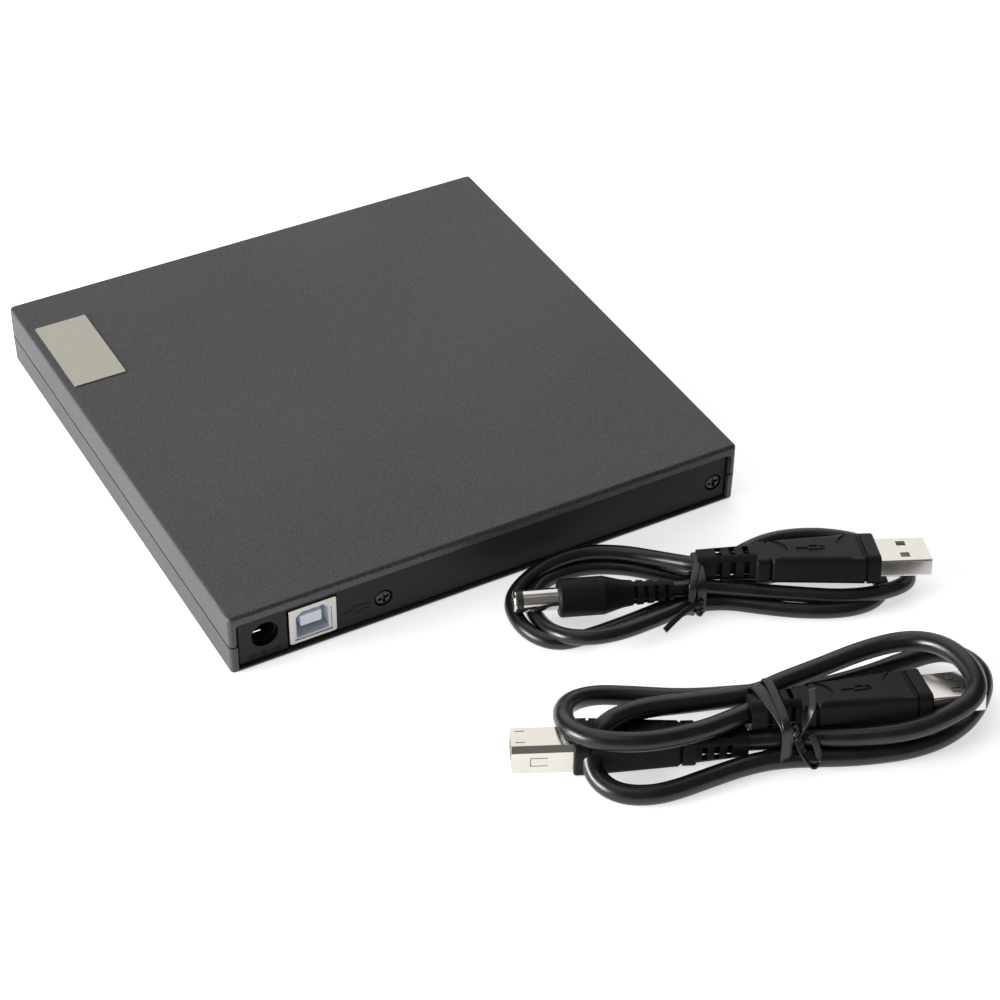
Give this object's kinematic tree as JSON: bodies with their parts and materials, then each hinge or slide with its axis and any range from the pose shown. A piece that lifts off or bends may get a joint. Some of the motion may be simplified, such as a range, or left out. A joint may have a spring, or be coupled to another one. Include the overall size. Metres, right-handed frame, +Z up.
{
  "type": "external optical drive",
  "caption": "Flat external slim optical drive with a sliding disc tray, rear square and round sockets, and a power lead and a data lead lying tied in hanks beside it.",
  "frame": {"origin": "centre of the case's footprint, on the plane the rubber feet stand on", "axes": "+Z up, the tray opens towards -Y, the sockets are in the rear panel at +Y, +X is the round socket's side"},
  "size_m": [0.1673, 0.2476, 0.0178],
  "materials": {
    "top_cover_plastic": "fine spark-eroded grain, dark warm grey",
    "bottom_cover_plastic": "fine spark-eroded grain, dark grey",
    "panel_plastic": "fine matt, charcoal",
    "screw_steel": "black-plated steel",
    "foot_rubber": "matt",
    "badge_metal": "satin champagne foil",
    "usb_b_nickel": "bright nickel plate",
    "usb_b_insert_plastic": "satin white",
    "contact_gold": "gold flash",
    "jack_plastic": "satin black",
    "jack_pin_metal": "nickel plate",
    "board_green": "solder mask over glass laminate",
    "chip_black": "moulded epoxy and cans",
    "connector_black": "satin",
    "drive_steel": "plain zinc-plated sheet",
    "fastener_steel": "zinc plate",
    "flex_foil": "amber polyimide film",
    "rail_steel": "plain sheet",
    "tray_plastic": "fine matt black",
    "bezel_plastic": "fine spark-eroded grain, dark grey",
    "led_clear": "clear acrylic",
    "plate_steel": "plain sheet",
    "motor_steel": "plated",
    "turntable_plastic": "matt black with a rubber seat",
    "claw_plastic": "satin acetal",
    "rod_steel": "ground",
    "sled_zinc": "die cast",
    "lens_plastic": "dark holder and coated lens",
    "plug_nickel": "bright nickel plate",
    "plug_white": "white",
    "plug_vinyl": "moulded soft vinyl, satin black",
    "cord_vinyl": "extruded soft vinyl, satin black",
    "tie_plastic": "flat black tie"
  },
  "bodies": {
    "case_and_cables": {"bottom_cover": "bottom_cover_plastic", "top_cover": "top_cover_plastic", "rear_panel": "panel_plastic", "rear_screws": "screw_steel", "rubber_feet": "foot_rubber", "badge_plate": "badge_metal", "usb_b_shell": "usb_b_nickel", "usb_b_insert": "usb_b_insert_plastic", "usb_b_contacts": "contact_gold", "dc_jack_body": "jack_plastic", "dc_jack_pin": "jack_pin_metal", "dc_jack_spring": "jack_pin_metal", "bridge_board": "board_green", "bridge_parts": "chip_black", "sata_socket": "connector_black", "drive_chassis": "drive_steel", "drive_lid": "drive_steel", "lid_screws": "fastener_steel", "interface_board": "board_green", "drive_connector": "connector_black", "flex_cable": "flex_foil", "rail_channel_right": "rail_steel", "rail_channel_left": "rail_steel", "dc_plug_barrel": "plug_nickel", "dc_plug_grip": "plug_vinyl", "power_usb_shell": "plug_nickel", "power_usb_tongue": "plug_white", "power_usb_grip": "plug_vinyl", "power_cord_hank": "cord_vinyl", "power_tie": "tie_plastic", "data_b_shell": "plug_nickel", "data_b_core": "plug_white", "data_b_grip": "plug_vinyl", "data_usb_shell": "plug_nickel", "data_usb_tongue": "plug_white", "data_usb_grip": "plug_vinyl", "data_cord_hank": "cord_vinyl", "data_tie": "tie_plastic"},
    "slide_rails": {"slide_rail_right": "rail_steel", "slide_rail_left": "rail_steel"},
    "tray_assembly": {"tray": "tray_plastic", "front_bezel": "bezel_plastic", "led_lens": "led_clear", "tray_plate": "plate_steel", "mech_plate": "plate_steel", "main_board": "board_green", "spindle_motor": "motor_steel", "guide_rods": "rod_steel", "sled_motor": "motor_steel", "eject_solenoid": "motor_steel"},
    "eject_button": {"eject_button": "bezel_plastic"},
    "latch_lever": {"latch_lever": "plate_steel"},
    "turntable": {"turntable": "turntable_plastic"},
    "hub_claw_1": {"hub_claw_1": "claw_plastic"},
    "hub_claw_2": {"hub_claw_2": "claw_plastic"},
    "hub_claw_3": {"hub_claw_3": "claw_plastic"},
    "pickup_sled": {"pickup_sled": "sled_zinc"},
    "lens_holder": {"lens_holder": "lens_plastic"},
    "lead_screw": {"lead_screw": "rod_steel"}
  },
  "joints": [
    {"name": "tray_slide", "type": "slide", "parent": "case_and_cables", "child": "tray_assembly", "axis": [0, -1, 0], "range_m": [0, 0.126]},
    {"name": "rail_slide", "type": "slide", "parent": "case_and_cables", "child": "slide_rails", "axis": [0, -1, 0], "range_m": [0, 0.063]},
    {"name": "button_press", "type": "slide", "parent": "tray_assembly", "child": "eject_button", "axis": [0, 1, 0], "range_m": [0, 0.0006], "stiffness_N_per_m": 2500, "springref_m": -0.0003},
    {"name": "latch_pivot", "type": "hinge", "parent": "tray_assembly", "child": "latch_lever", "pos_m": [0.03, -0.05, 0.005], "axis": [0, 0, 1], "range_deg": [0, 14]},
    {"name": "spindle_spin", "type": "hinge", "parent": "tray_assembly", "child": "turntable", "pos_m": [0, -0.008, 0.008], "axis": [0, 0, 1], "continuous": true},
    {"name": "claw_1_press", "type": "slide", "parent": "turntable", "child": "hub_claw_1", "axis": [0, -1, 0], "range_m": [0, 0.0005], "stiffness_N_per_m": 1500, "springref_m": -0.0003},
    {"name": "claw_2_press", "type": "slide", "parent": "turntable", "child": "hub_claw_2", "axis": [0.866, 0.5, 0], "range_m": [0, 0.0005], "stiffness_N_per_m": 1500, "springref_m": -0.0003},
    {"name": "claw_3_press", "type": "slide", "parent": "turntable", "child": "hub_claw_3", "axis": [-0.866, 0.5, 0], "range_m": [0, 0.0005], "stiffness_N_per_m": 1500, "springref_m": -0.0003},
    {"name": "sled_travel", "type": "slide", "parent": "tray_assembly", "child": "pickup_sled", "axis": [-0.7071, 0.7071, 0], "range_m": [0, 0.026]},
    {"name": "lens_focus", "type": "slide", "parent": "pickup_sled", "child": "lens_holder", "axis": [0, 0, 1], "range_m": [-0.0003, 0.0005], "stiffness_N_per_m": 40},
    {"name": "lead_screw_turn", "type": "hinge", "parent": "tray_assembly", "child": "lead_screw", "pos_m": [-0.03359, 0.00084, 0.0072], "axis": [-0.7071, 0.7071, 0], "range_deg": [0, 3130]}
  ],
  "couplings": [
    {"joint": "rail_slide", "follows": "tray_slide", "ratio": 0.5},
    {"joint": "lead_screw_turn", "follows": "sled_travel", "rad_per_m": 2094.4}
  ]
}
